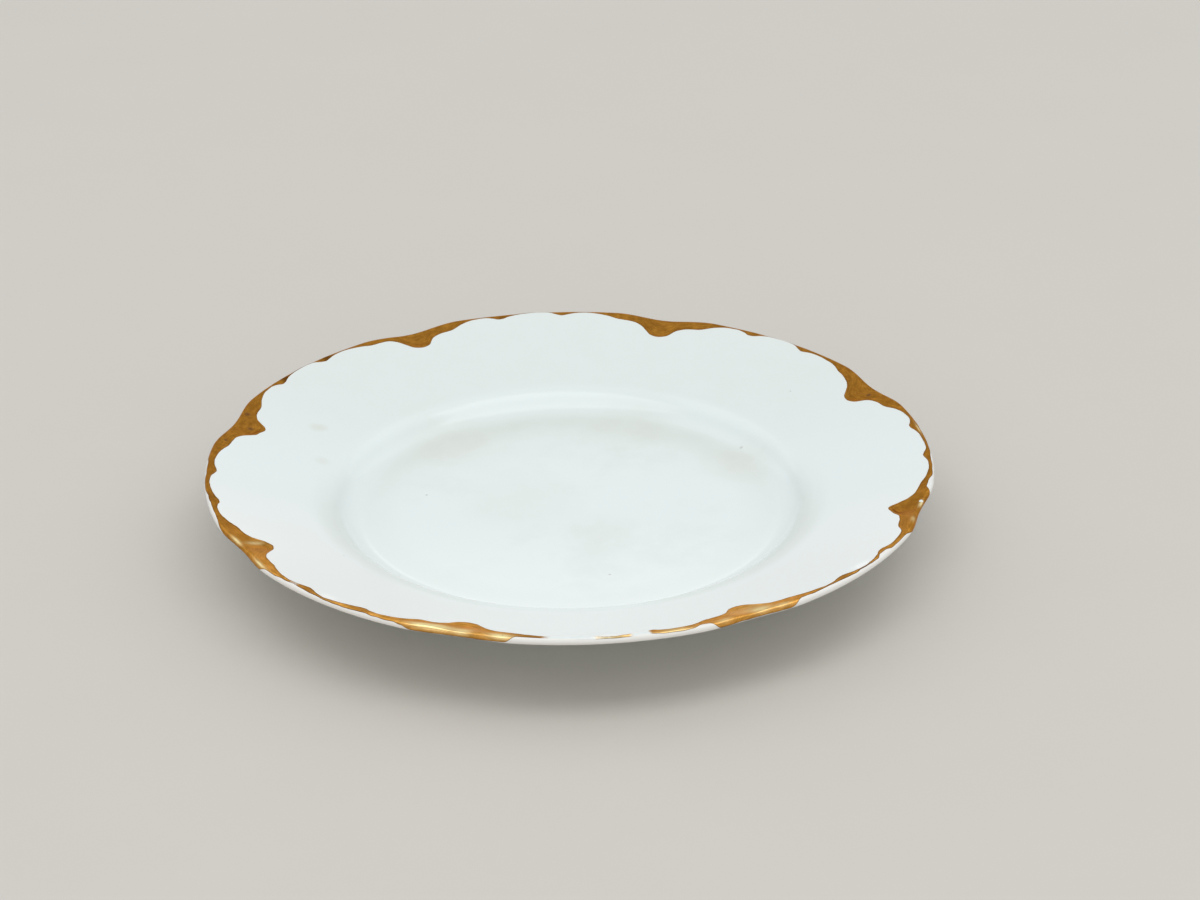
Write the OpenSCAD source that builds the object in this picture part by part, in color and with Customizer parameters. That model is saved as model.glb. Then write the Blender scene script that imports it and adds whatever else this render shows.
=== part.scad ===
// Scalloped dessert plate of white glazed porcelain with a gilt edge.
// Lengths are in millimetres and angles in degrees. The plate stands on z = 0, centred on
// the origin, with its front towards -Y. Eight lobes run round the edge from notch to notch.

/* [Plate] */
// Diameter over the crowns of the lobes
plate_d = 196; // [180:1:212]
// Height of the white rim above the table, at the crowns of its border
rim_h = 22.6; // [20:0.1:26]
// Number of lobes round the edge
lobe_count = 8; // [6:1:10]
// Angle of the first notch from the X axis
first_notch = 28.5; // [0:0.5:45]

/* [Rim] */
// Slope of the broad rim
rim_slope = 16.5; // [12:0.5:19]
// Thickness of the rounded lip
lip_t = 2; // [1.6:0.1:2.8]
// Step down from the white rim to the gilt border
step_h = 0.25; // [0.2:0.05:0.4]
// Width of that step
step_w = 0.5; // [0.3:0.05:0.6]
// Distance of the border's crowns from the edge
border_in = 0.8; // [0.8:0.1:3]
// Depth of the border's notches behind its crowns
notch_depth = 9; // [5:0.5:12]
// Inward dip of the edge at each notch
edge_dip = 1.6; // [0.4:0.1:2.4]

/* [Well] */
// Diameter of the corner between the rim and the wall of the well
well_d = 126.4; // [118:0.2:136]
// Slope of the wall of the well
wall_slope = 54; // [44:1:60]
// Radius of the shoulder between the rim and the wall
shoulder_r = 8; // [5:0.5:10]
// Radius of the fillet between the wall and the floor
fillet_r = 7; // [4:0.5:9]
// Thickness of the floor
floor_t = 4; // [3:0.1:5]

/* [Foot] */
// Height of the foot ring
foot_h = 3.2; // [2:0.1:4]
// Width of the foot ring where it meets the body
foot_w = 6; // [5:0.5:9]
// Width of its flat bearing face
bearing_w = 2.4; // [1.5:0.1:3]
// Radius between the bearing face and the sides of the foot ring
foot_round = 0.8; // [0.4:0.1:1.2]
// Distance of the foot ring from the edge of the body's base
foot_inset = 0.8; // [0.4:0.1:3]

/* [Gilding] */
// Distance of the gold line's outer side from the edge of the plate
line_in = 0.4; // [0.2:0.05:0.6]
// Thickness of the gold
gilt_t = 0.25; // [0.1:0.05:0.35]

/* [Hidden] */
// Border of one lobe, from notch to notch. Each pair is the place along the lobe, as a share
// of the lobe, and the depth behind the crowns, as a share of the notch depth. The two small
// nicks lie at 0.40 and 0.645.
border_shares = [
    [0.00, 1.00], [0.03, 0.95], [0.055, 0.76], [0.08, 0.55], [0.11, 0.41], [0.14, 0.36],
    [0.18, 0.31], [0.22, 0.19], [0.26, 0.11], [0.31, 0.06], [0.35, 0.09], [0.38, 0.15],
    [0.40, 0.18], [0.42, 0.13], [0.45, 0.03], [0.50, 0.00], [0.56, 0.03], [0.60, 0.10],
    [0.63, 0.19], [0.645, 0.20], [0.67, 0.12], [0.70, 0.07], [0.74, 0.09], [0.79, 0.20],
    [0.845, 0.41], [0.89, 0.47], [0.93, 0.61], [0.965, 0.92]
];
// The edge dips over this share of the lobe on each side of a notch
dip_share = 0.2;
// The gold of a notch starts at this share of the lobe before it and ends at this share of
// the lobe after it
gold_from_share = 0.79;
gold_to_share = 0.18;
// The step takes at most this share of the room between border and edge
step_share = 0.25;
// The gold line stops at most this share of that room before the edge
line_share = 0.5;
// Share of the wall's length that its two rounded corners may take up
corners_share = 0.95;

plate_r = plate_d / 2;
lip_r = lip_t / 2;
rim_t = step_h + lip_t;
crown_r = plate_r - border_in;
pitch = 360 / lobe_count;
// Angle of the rim's upward normal, and of its downward one
up_turn = 90 + rim_slope;
down_turn = rim_slope - 90;

// Section of the well: corners between the rim, the wall and the floor, as [radius, height]
floor_z = foot_h + floor_t;
well_corner = [well_d / 2, white_z(well_d / 2)];
wall_h = well_corner[1] - floor_z;
floor_corner = [well_corner[0] - wall_h / tan(wall_slope), floor_z];
shoulder_reach = shoulder_r * tan((wall_slope - rim_slope) / 2);
fillet_reach = fillet_r * tan(wall_slope / 2);
wall_len = wall_h / sin(wall_slope);
round_fit = min(1, corners_share * wall_len / (shoulder_reach + fillet_reach));
under_corner = well_corner - rim_t * between(rim_slope, wall_slope);
base_r = under_corner[0] - (under_corner[1] - foot_h) / tan(wall_slope);
foot_r = base_r - foot_inset;

// Top of the white rim, a shallow cone
function white_z(r) = rim_h - (crown_r - r) * tan(rim_slope);

// Unit normal of a section line that rises outwards at the given slope
function normal(slope) = [-sin(slope), cos(slope)];

// From the corner of two lines to the corner of the two lines offset by one along their normals
function between(slope_a, slope_b) =
    (normal(slope_a) + normal(slope_b)) / (1 + cos(slope_b - slope_a));

// Points of the round that joins two lines at a corner. side is 1 where the round's centre
// lies below the lines and -1 where it lies above them.
function round_at(corner, slopes, radius, side) =
    let(centre = corner - side * radius * between(slopes[0], slopes[len(slopes) - 1]))
    [for (s = slopes) centre + side * radius * normal(s)];

// Radius of the plate's edge and of the white border, at a row of the border table
function dip_at(row) =
    let(away = min(row[0], 1 - row[0]))
    away < dip_share ? (1 + cos(180 * away / dip_share)) / 2 : 0;
function edge_r(row) = plate_r - edge_dip * dip_at(row);
function border_r(row) = crown_r - notch_depth * row[1];

// The skin outside the border is flat and parallel to the rim, then rolls over the lip.
// t is the length along it, zero where the roll begins and negative on the flat.
function roll_centre(row) =
    let(r = edge_r(row) - lip_r)
    [r, white_z(r) - rim_t / cos(rim_slope) + lip_r / cos(rim_slope)];
function turn_at(t) = t < 0 ? up_turn : up_turn - t / lip_r * 180 / PI;
function skin(row, t) =
    let(turn = turn_at(t), along = min(t, 0))
    roll_centre(row) + lip_r * [cos(turn), sin(turn)] + along * [cos(rim_slope), sin(rim_slope)];
function skin_t(row, r) =
    let(centre_r = roll_centre(row)[0], start_r = centre_r + lip_r * cos(up_turn))
    r < start_r
        ? (r - start_r) / cos(rim_slope)
        : (up_turn - acos((r - centre_r) / lip_r)) * PI / 180 * lip_r;
function lip_t_at(turn) = (up_turn - turn) * PI / 180 * lip_r;

// Lengths along the skin of the rings that both the body and the gold use: the foot of the
// step, one on the way to the gold line's outer side, that side, one on the way to the edge,
// the edge and below it
function skin_rings(row) =
    let(
        room = edge_r(row) - border_r(row),
        step_t = skin_t(row, border_r(row) + min(step_w, step_share * room)),
        line_t = skin_t(row, edge_r(row) - min(line_in, line_share * room)),
        edge_t = lip_t_at(0)
    )
    [
        step_t, max(0, (step_t + line_t) / 2), line_t, (line_t + edge_t) / 2, edge_t,
        lip_t_at(down_turn / 2)
    ];

// Section of the body at one row, from the floor over the rim and the lip to the base
function body_section(row) =
    concat(
        round_at(floor_corner, [0, wall_slope / 2, wall_slope], fillet_r * round_fit, -1),
        round_at(
            well_corner, [wall_slope, (wall_slope + rim_slope) / 2, rim_slope],
            shoulder_r * round_fit, 1
        ),
        [[border_r(row), white_z(border_r(row))]],
        [for (t = skin_rings(row)) skin(row, t)],
        [skin(row, lip_t_at(down_turn))],
        round_at(
            under_corner, [rim_slope, (wall_slope + rim_slope) / 2, wall_slope],
            max(shoulder_r * round_fit - rim_t, lip_r), 1
        ),
        [[base_r, foot_h]]
    );

// Loop of the gold's section at one row: outwards over its top, then back along the skin.
// rings is how many of the skin's rings it covers.
function gold_section(row, rings) =
    let(
        border = [border_r(row), white_z(border_r(row))],
        ts = [for (i = [0:rings - 1]) skin_rings(row)[i]],
        under = concat([border], [for (t = ts) skin(row, t)]),
        turns = concat([up_turn], [for (t = ts) turn_at(t)])
    )
    concat(
        [for (i = [0:rings]) under[i] + gilt_t * [cos(turns[i]), sin(turns[i])]],
        [for (i = [rings:-1:0]) under[i]]
    );

// A section point turned to its place along a lobe
function place(point, lobe, row) =
    let(angle = first_notch + (lobe + row[0]) * pitch)
    [point[0] * cos(angle), point[0] * sin(angle), point[1]];

// Gold swept through the given [lobe, row] stations, closed by a cap at each end
module gold(stations, rings) {
    size = 2 * (rings + 1);
    last = len(stations) - 1;
    points = [
        for (st = stations) for (p = gold_section(st[1], rings)) place(p, st[0], st[1])
    ];
    sides = [
        for (i = [0:last - 1]) for (k = [0:size - 1])
            let(a = i * size + k, b = i * size + (k + 1) % size)
            each [[a, a + size, b], [a + size, b + size, b]]
    ];
    caps = [
        for (k = [0:rings - 1])
            let(a = k, b = k + 1, c = size - 2 - k, d = size - 1 - k, far = last * size)
            each [[a, b, c], [a, c, d], [far + b, far + a, far + c], [far + a, far + d, far + c]]
    ];
    polyhedron(points, concat(sides, caps));
}

// Fired in one piece: floor, wall of the well, broad rim and scalloped, rounded lip
module porcelain_body() {
    rows = len(border_shares);
    stations = lobe_count * rows;
    sections = [for (row = border_shares) body_section(row)];
    size = len(sections[0]);
    points = [
        for (lobe = [0:lobe_count - 1]) for (i = [0:rows - 1])
            for (p = sections[i]) place(p, lobe, border_shares[i])
    ];
    floor_centre = stations * size;
    skin_faces = [
        for (i = [0:stations - 1]) for (j = [0:size - 2])
            let(a = i * size + j, b = (i + 1) % stations * size + j)
            each [[a, b, b + 1], [a, b + 1, a + 1]]
    ];
    disc_faces = [
        for (i = [0:stations - 1])
            let(a = i * size, b = (i + 1) % stations * size)
            each [
                [floor_centre, b, a],
                [floor_centre + 1, a + size - 1, b + size - 1]
            ]
    ];
    color("whitesmoke")
        polyhedron(
            concat(points, [[0, 0, floor_z], [0, 0, foot_h]]),
            concat(skin_faces, disc_faces)
        );
}

// Foot ring with its unglazed, flat bearing face
module foot_ring() {
    mid_r = foot_r - foot_w / 2;
    lean = atan((foot_w - bearing_w) / 2 / foot_h);
    turns = [0, (90 - lean) / 2, 90 - lean];
    corner_in = foot_round * tan((90 - lean) / 2);
    half = [
        for (turn = turns)
            [bearing_w / 2 - corner_in + foot_round * sin(turn), foot_round * (1 - cos(turn))]
    ];
    side = concat(half, [[foot_w / 2, foot_h]]);
    outline = concat(
        [for (p = side) [mid_r + p[0], p[1]]],
        [for (i = [len(side) - 1:-1:0]) [mid_r - side[i][0], side[i][1]]]
    );
    color("linen") rotate_extrude($fn = 180) polygon(outline);
}

// Gold that fills a notch and rolls over the lip
module gilt_notch(k) {
    before = [for (row = border_shares) if (row[0] >= gold_from_share) [k - 2, row]];
    after = [for (row = border_shares) if (row[0] <= gold_to_share) [k - 1, row]];
    color("goldenrod") gold(concat(before, after), 6);
}

// Gold line that follows the border of a lobe, out to the crest of the lip
module gilt_line(k) {
    along = [
        for (row = border_shares)
            if (row[0] >= gold_to_share && row[0] <= gold_from_share) [k - 1, row]
    ];
    color("darkgoldenrod") gold(along, 3);
}

porcelain_body();
foot_ring();
for (k = [1:lobe_count]) gilt_notch(k);
for (k = [1:lobe_count]) gilt_line(k);
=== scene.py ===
# %% [markdown]
# # A scalloped dessert plate in white porcelain and gold
#
# The plate is one fired body: a nearly flat floor, a short curved wall, a broad rim that
# rises to a rounded lip, and a foot ring underneath. Its edge has eight lobes. A raised
# border follows them, with a deep notch between two lobes and two small nicks in each. Gold
# was brushed over the notches and along the border by hand.
#
# The solids of the plate come from the CAD frame, which carries the sizes and the places.
# Here every one of them is replaced by a finer surface worked out from the same sizes, so
# that the border runs in smooth curves and the gold lies on the glaze as a thin film.

import math

import bpy
import numpy as np
from mathutils import Matrix


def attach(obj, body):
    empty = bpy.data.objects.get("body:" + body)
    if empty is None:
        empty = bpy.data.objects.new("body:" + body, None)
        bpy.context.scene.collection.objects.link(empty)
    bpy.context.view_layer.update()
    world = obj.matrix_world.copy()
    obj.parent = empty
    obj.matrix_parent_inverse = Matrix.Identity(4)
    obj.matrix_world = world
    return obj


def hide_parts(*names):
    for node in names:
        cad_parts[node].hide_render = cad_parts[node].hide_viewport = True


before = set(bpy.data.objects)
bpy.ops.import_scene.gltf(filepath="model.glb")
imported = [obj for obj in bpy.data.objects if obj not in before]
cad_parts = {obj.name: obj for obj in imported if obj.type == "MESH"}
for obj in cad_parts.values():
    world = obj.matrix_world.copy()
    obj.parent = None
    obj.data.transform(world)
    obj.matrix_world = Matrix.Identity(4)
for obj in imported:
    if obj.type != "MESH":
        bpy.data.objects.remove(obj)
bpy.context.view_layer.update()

# %% [markdown]
# ## The sizes
#
# All lengths are in millimetres here, and become metres only when a mesh is made. They are
# the sizes of the CAD source, apart from the softer top of the well. Angles are in degrees.

# %% Sizes of the plate
PLATE_R = 98.0
LOBES = 8
FIRST_NOTCH = 28.5
RIM_H = 22.6
RIM_SLOPE = 16.5
LIP_R = 1.0
STEP_H = 0.25
RIM_T = STEP_H + 2 * LIP_R
# The crowns of the border lie this far inside the edge
CROWN_IN = 0.8
CROWN_R = PLATE_R - CROWN_IN
NOTCH_DEPTH = 9.0
# The edge dips by this much at a notch, over this share of a lobe on each side of it
EDGE_DIP, DIP_SHARE = 1.6, 0.2
WELL_R = 63.2
WALL_SLOPE = 54.0
SHOULDER_R = 8.0
BASE_ROUND_R = 1.2
FLOOR_Z = 7.2
FOOT_H = 3.2
FOOT_W = 6.0
BEARING_W = 2.4
# The top of the well is a little wider and softer than its underside
TOP_WIDER = 0.8
TOP_WELL_R = WELL_R + TOP_WIDER
TOP_WALL_SLOPE = 44.0
TOP_ROUND_R = 9.0
FLOOR_LEAN = 3.3
# Height over the middle of the floor at which the lines of floor and wall would meet
CORNER_H = 0.99
print("plate", 2 * PLATE_R, "mm across, border", RIM_H, "mm high")

# %% [markdown]
# ## The border of one lobe
#
# The raised border is the plate's signature: every lobe leans a little, with a shoulder on
# each side of the notch and two nicks in its brow. It could be drawn as a Bezier curve, but
# a table of a few knots is easier to read and to change. Each knot is a place along the lobe
# and a depth behind the crown, both as shares.
#
# A plain spline through such knots swings past them. The curve here has slope zero where the
# knots turn back, and elsewhere a slope between those of its two chords, so it never does.

# %% The border curve
BORDER = np.array([
    [0.00, 1.00], [0.03, 0.95], [0.055, 0.76], [0.08, 0.55], [0.11, 0.41], [0.14, 0.36],
    [0.18, 0.31], [0.22, 0.19], [0.26, 0.11], [0.31, 0.06], [0.35, 0.09], [0.38, 0.15],
    [0.40, 0.18], [0.42, 0.13], [0.45, 0.03], [0.50, 0.00], [0.56, 0.03], [0.60, 0.10],
    [0.63, 0.19], [0.645, 0.20], [0.67, 0.12], [0.70, 0.07], [0.74, 0.09], [0.79, 0.20],
    [0.845, 0.41], [0.89, 0.47], [0.93, 0.61], [0.965, 0.92],
])


def knot_slopes(x, y):
    """Slope at each knot of a closed row of knots.

    It is the harmonic mean of the chords before and after the knot, and zero where these
    differ in sign.
    """
    after = np.diff(np.append(y, y[0])) / np.diff(np.append(x, 1 + x[0]))
    before = np.roll(after, 1)
    same = before * after > 0
    return np.where(same, 2 * before * after / np.where(same, before + after, 1), 0)


BORDER_SLOPES = knot_slopes(BORDER[:, 0], BORDER[:, 1])


def border_share(v):
    """Depth share at places v, counted in lobes from the first notch.

    Between two knots it is the cubic that has the knots' values and slopes:
    (1 + 2s)(1 - s)^2 y0 + s(1 - s)^2 w m0 + s^2(3 - 2s) y1 + s^2(s - 1) w m1,
    where w is the knots' distance and s the share of it.
    """
    x, y = BORDER[:, 0], BORDER[:, 1]
    place = np.mod(v, 1)
    i = np.searchsorted(x, place, side="right") - 1
    j = (i + 1) % len(x)
    width = np.where(j > 0, x[j], 1) - x[i]
    s = (place - x[i]) / width
    return (
        (1 + 2 * s) * (1 - s) ** 2 * y[i]
        + s * (1 - s) ** 2 * width * BORDER_SLOPES[i]
        + s**2 * (3 - 2 * s) * y[j]
        + s**2 * (s - 1) * width * BORDER_SLOPES[j]
    )


depths = NOTCH_DEPTH * border_share(np.linspace(0, 1, 1001))
print("border lies %.2f to %.2f mm behind the crown" % (depths.min(), depths.max()))

# %% The border and the edge of the whole plate
# The lobes of the real plate differ a little: place and half width in lobes, and how much
# further out the border lies there, in millimetres
DIFFERENCES = [
    (0.00, 0.030, -0.4), (0.10, 0.035, -0.6), (0.30, 0.040, -0.4), (2.08, 0.085, 1.4),
    (2.975, 0.015, -0.5), (3.02, 0.015, 0.4), (3.28, 0.150, -0.75), (3.62, 0.140, -0.55),
    (4.00, 0.020, -0.4), (4.84, 0.020, -0.5), (6.80, 0.030, 0.7), (6.960, 0.020, 0.8),
    (7.02, 0.014, -0.8), (7.525, 0.070, -0.5),
]


def way_round(v, place):
    """Shortest way round the plate from a place to v, in lobes: their difference, brought
    by whole turns between minus and plus half a turn."""
    return np.mod(v - place + LOBES / 2, LOBES) - LOBES / 2


def from_notch(v):
    """Way from the nearest notch to v, in lobes: between minus and plus a half."""
    return np.mod(v + 0.5, 1) - 0.5


def bell(x, width):
    """Bell curve: exp(-(x / width)^2 / 2), which is 1 at zero."""
    return np.exp(-((x / width) ** 2) / 2)


def border_r(v):
    """Radius of the border: the crown's radius less the notch depth times the share, plus
    each difference times a bell curve at its place."""
    radius = CROWN_R - NOTCH_DEPTH * border_share(v)
    for place, wide, further in DIFFERENCES:
        radius = radius + further * bell(way_round(v, place), wide)
    return radius


def edge_r(v):
    """Radius of the plate's edge: a circle that dips round each notch by one cosine wave,
    (1 + cos(pi x / share)) / 2."""
    away = np.abs(from_notch(v))
    wave = (1 + np.cos(np.pi * away / DIP_SHARE)) / 2
    return PLATE_R - EDGE_DIP * np.where(away < DIP_SHARE, wave, 0)


sample = border_r(np.linspace(0, LOBES, 8001))
print("border radius %.2f to %.2f mm" % (sample.min(), sample.max()))

# %% [markdown]
# ## One section of the plate
#
# A plate is nearly a solid of revolution, so the whole body is one grid: places round the
# plate by points along its section. Only the border and the edge move with the place.
#
# Outside the well, the top is described by its *skin*: a flat band at the rim's slope that
# rolls over the lip as a half circle. A point on it is found from its length t along the
# skin, which is zero where the roll begins. The white rim stands a quarter of a millimetre
# proud of that skin, and steps down to it at the border. Each notch runs on as a shallow
# groove towards the edge, and the band around it swells and sinks a little, as pressed clay
# does. That gives the gold its soft streaks of light.

# %% Random lines round the plate
STEPS = LOBES * 400
RING = np.arange(STEPS) * LOBES / STEPS
SEED = 11
dice = np.random.default_rng(SEED)
# The band's swell: width of its waves in lobes, and size in millimetres
SWELL = (0.035, 0.07)


def smooth_ring(values, lobes_wide):
    """Values round the plate, smoothed: each wave is scaled by a bell curve of the wave's
    number times the width as an angle."""
    waves = np.fft.rfftfreq(STEPS, 1 / STEPS)
    width = 2 * np.pi * lobes_wide / LOBES
    return np.fft.irfft(np.fft.rfft(values) * bell(waves * width, 1), STEPS)


def wander(lobes_wide, size):
    """Random line round the plate that wanders by about this size in millimetres."""
    line = smooth_ring(dice.standard_normal(STEPS), lobes_wide)
    return size * line / line.std()


def on_ring(values, v):
    """Values of a line round the plate at places v, straight between its samples."""
    return np.interp(np.mod(v, LOBES), np.append(RING, LOBES), np.append(values, values[0]))


swell = wander(*SWELL)
print("the band swells by", round(float(np.abs(swell).max()), 2), "mm at most")

# %% Skin, step and groove
TAN = math.tan(math.radians(RIM_SLOPE))
COS = math.cos(math.radians(RIM_SLOPE))
UP_TURN = math.radians(90 + RIM_SLOPE)
# The step falls from this far before the border to this far after it
STEP_BEFORE, STEP_AFTER = 0.16, 0.60
# The band's relief comes in over the one length behind the step, and goes out over the
# other on the roll
BAND_IN, BAND_OUT = 1.6, 1.3
# Depth of the groove at a notch, and half its width in lobes
GROOVE, GROOVE_SHARE = 0.45, 0.036


def white_z(r):
    """Height of the white rim, a cone: rim height less the way in from the crowns times
    the tangent of the slope."""
    return RIM_H - (CROWN_R - r) * TAN


def ease(x):
    """Smooth step from 0 to 1: x^2 (3 - 2x), held outside 0 to 1."""
    x = np.clip(x, 0, 1)
    return x * x * (3 - 2 * x)


def skin(v, t):
    """Skin point and unit normal, as (r, z, nr, nz).

    The normal turns from the rim's by t / lip radius once t is past zero. The point is the
    lip's centre plus the lip radius along the normal and, while t is below zero, plus t along
    the slope.
    """
    turn = UP_TURN - np.maximum(t, 0) / LIP_R
    centre_r = edge_r(v) - LIP_R
    centre_z = white_z(centre_r) - (RIM_T - LIP_R) / COS
    flat = np.minimum(t, 0)
    nr, nz = np.cos(turn), np.sin(turn)
    r = centre_r + LIP_R * nr + flat * COS
    z = centre_z + LIP_R * nz + flat * COS * TAN
    return r, z, nr, nz


def skin_t(v, r):
    """Length along the skin at which its radius is r: the slope length on the flat band,
    and the turned angle times the lip radius on the roll."""
    centre_r = edge_r(v) - LIP_R
    start_r = centre_r + LIP_R * math.cos(UP_TURN)
    turned_by = UP_TURN - np.arccos(np.clip((r - centre_r) / LIP_R, -1, 1))
    return np.where(r < start_r, (r - start_r) / COS, turned_by * LIP_R)


def top(v, t):
    """The plate's real top surface, as (r, z, nr, nz).

    It is the skin, raised inside the border by the step's height, which a smooth step takes
    away. Between that and the roll it swells by the random line, and sinks by a bell curve
    at each notch.
    """
    r, z, nr, nz = skin(v, t)
    at_border = skin_t(v, border_r(v))
    fallen = ease((t - at_border + STEP_BEFORE) / (STEP_BEFORE + STEP_AFTER))
    step_foot = at_border + STEP_AFTER
    band = ease((t - step_foot) / BAND_IN) * ease((BAND_OUT - t) / BAND_OUT)
    relief = on_ring(swell, v) - GROOVE * bell(from_notch(v), GROOVE_SHARE)
    rise = STEP_H * (1 - fallen) + band * relief
    return r + rise * nr, z + rise * nz, nr, nz


print("lip rolls over", round(math.pi * LIP_R, 2), "mm of skin")

# %% [markdown]
# ## The well
#
# Three lines and two arcs: the floor, a fillet, the wall, a shoulder and the rim. A free
# curve would do too, but lines and arcs keep to the sizes above. Where two lines meet, the
# centre of their arc lies on the line that halves the corner. The floor isn't quite flat:
# from its middle it rises by the fourth power of the radius, by less than a millimetre, and
# meets the fillet at a slope of about three degrees.

# %% The well's arcs
HOLLOW, HUMP = -1, 1


def normal(slope):
    """Unit normal of a section line that rises outwards at this slope in degrees."""
    a = np.radians(slope)
    return np.array([-np.sin(a), np.cos(a)])


def between(slope_a, slope_b):
    """The way from a corner to the corner of its lines moved by one along their normals:
    the sum of both normals over one plus the cosine of the angle between them."""
    turn = math.cos(math.radians(slope_b - slope_a))
    return (normal(slope_a) + normal(slope_b)) / (1 + turn)


def arc(corner, slopes, radius, side, count):
    """Points of the arc that rounds a corner: centre plus side times radius times the
    normal, at slopes between the two given."""
    centre = corner - side * radius * between(*slopes)
    return centre + side * radius * normal(np.linspace(*slopes, count)).T


def rim_point(r):
    """Point of the white rim's cone at this radius."""
    return np.array([r, white_z(r)])


def run(height, slope):
    """How far a line goes outwards while it rises by this height: height over the tangent
    of its slope in degrees."""
    return height / math.tan(math.radians(slope))


well_corner = rim_point(TOP_WELL_R)
corner_z = FLOOR_Z + CORNER_H
wall_run = run(well_corner[1] - corner_z, TOP_WALL_SLOPE)
floor_corner = np.array([TOP_WELL_R - wall_run, corner_z])
under_corner = rim_point(WELL_R) - RIM_T * between(RIM_SLOPE, WALL_SLOPE)
base_r = under_corner[0] - run(under_corner[1] - FOOT_H, WALL_SLOPE)
fillet = arc(floor_corner, (FLOOR_LEAN, TOP_WALL_SLOPE), TOP_ROUND_R, HOLLOW, 10)
shoulder = arc(well_corner, (TOP_WALL_SLOPE, RIM_SLOPE), TOP_ROUND_R, HUMP, 10)
under_shoulder = arc(under_corner, (RIM_SLOPE, WALL_SLOPE), SHOULDER_R - RIM_T, HUMP, 6)
base_round = arc(np.array([base_r, FOOT_H]), (WALL_SLOPE, 0), BASE_ROUND_R, HOLLOW, 5)
print("floor", round(fillet[0][0], 1), "mm, base", round(base_r, 1), "mm in radius")
print("floor rises by", round(fillet[0][1] - FLOOR_Z, 2), "mm")

# %% [markdown]
# ## The body as one grid
#
# The grid could be spun with the Screw modifier, but the section changes round the plate.
# So all points are computed at once: rows along the section, columns round the plate. The
# two middles close with a fan of triangles round one point.
#
# Each point also keeps how far it lies from the border, because the glaze and the gold change
# there. The materials read that as an attribute.

# %% Helpers that turn a grid into a mesh
MM = 0.001


def turned(v, r, z):
    """Points of a grid, from the place v in lobes, the radius and the height: the angle is
    the first notch's plus v times the pitch."""
    a = np.radians(FIRST_NOTCH + v * 360 / LOBES)
    r, z = np.broadcast_arrays(r, z)
    return np.stack([r * np.cos(a), r * np.sin(a), z], -1)


def all_round(points, cols):
    """Rows of radius and rows of height that stay the same all round, from (r, z) points."""
    return [np.broadcast_to(points[:, k, None], (len(points), cols)) for k in (0, 1)]


def spread(start, end, count, power=1.0):
    """Rows that lead from start to end, without the start: start plus the way to the end
    times an even share, raised to a power that crowds the rows."""
    share = np.linspace(0, 1, count + 1)[1:, None] ** power
    return start + (end - start) * share


def grid_faces(rows, cols, join_rows=False, join_cols=False):
    """Faces between the points of a grid, facing up where its rows run outwards. The last
    row can be joined to the first one, and the last column to the first."""
    i = np.arange(rows if join_rows else rows - 1)[:, None]
    j = np.arange(cols if join_cols else cols - 1)[None, :]
    up, along = (i + 1) % rows, (j + 1) % cols
    quads = [i * cols + j, up * cols + j, up * cols + along, i * cols + along]
    return np.stack(quads, -1).reshape(-1, 4).tolist()


def make_piece(name, points, faces, material, **values):
    """Object with smooth faces at the origin. Points are in millimetres, and every other
    value becomes a number attribute of the points."""
    mesh = bpy.data.meshes.new(name)
    mesh.from_pydata((np.asarray(points).reshape(-1, 3) * MM).tolist(), [], faces)
    mesh.shade_smooth()
    for key, numbers in values.items():
        store = mesh.attributes.new(key, "FLOAT", "POINT")
        store.data.foreach_set("value", np.asarray(numbers, np.float32).ravel())
    mesh.materials.append(material)
    mesh.validate()
    piece = bpy.data.objects.new(name, mesh)
    bpy.context.scene.collection.objects.link(piece)
    return piece


print("one lobe spans", 360 / LOBES, "degrees")

# %% [markdown]
# ## Writing shader maths as Python
#
# Wiring nodes by hand hides the idea behind a pattern. A socket wrapped in a small class can
# be added, subtracted and multiplied as a number, and each sign adds one Math node. All other
# nodes come from one method.

# %% A socket that can be used in sums


class Wire:
    """An output socket in a node tree, with the operators that the materials use."""

    def __init__(self, finish, socket):
        self.finish, self.socket = finish, socket

    def _math(self, operation, a, b):
        """Adds a Math node on two wires or numbers."""
        return self.finish.node("ShaderNodeMath", {0: a, 1: b}, operation=operation)

    def __add__(self, other):
        return self._math("ADD", self, other)

    __radd__ = __add__

    def __mul__(self, other):
        return self._math("MULTIPLY", self, other)

    __rmul__ = __mul__

    def __sub__(self, other):
        return self._math("SUBTRACT", self, other)

    def __rsub__(self, other):
        return self._math("SUBTRACT", other, self)


# %% A material and its nodes


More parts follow.
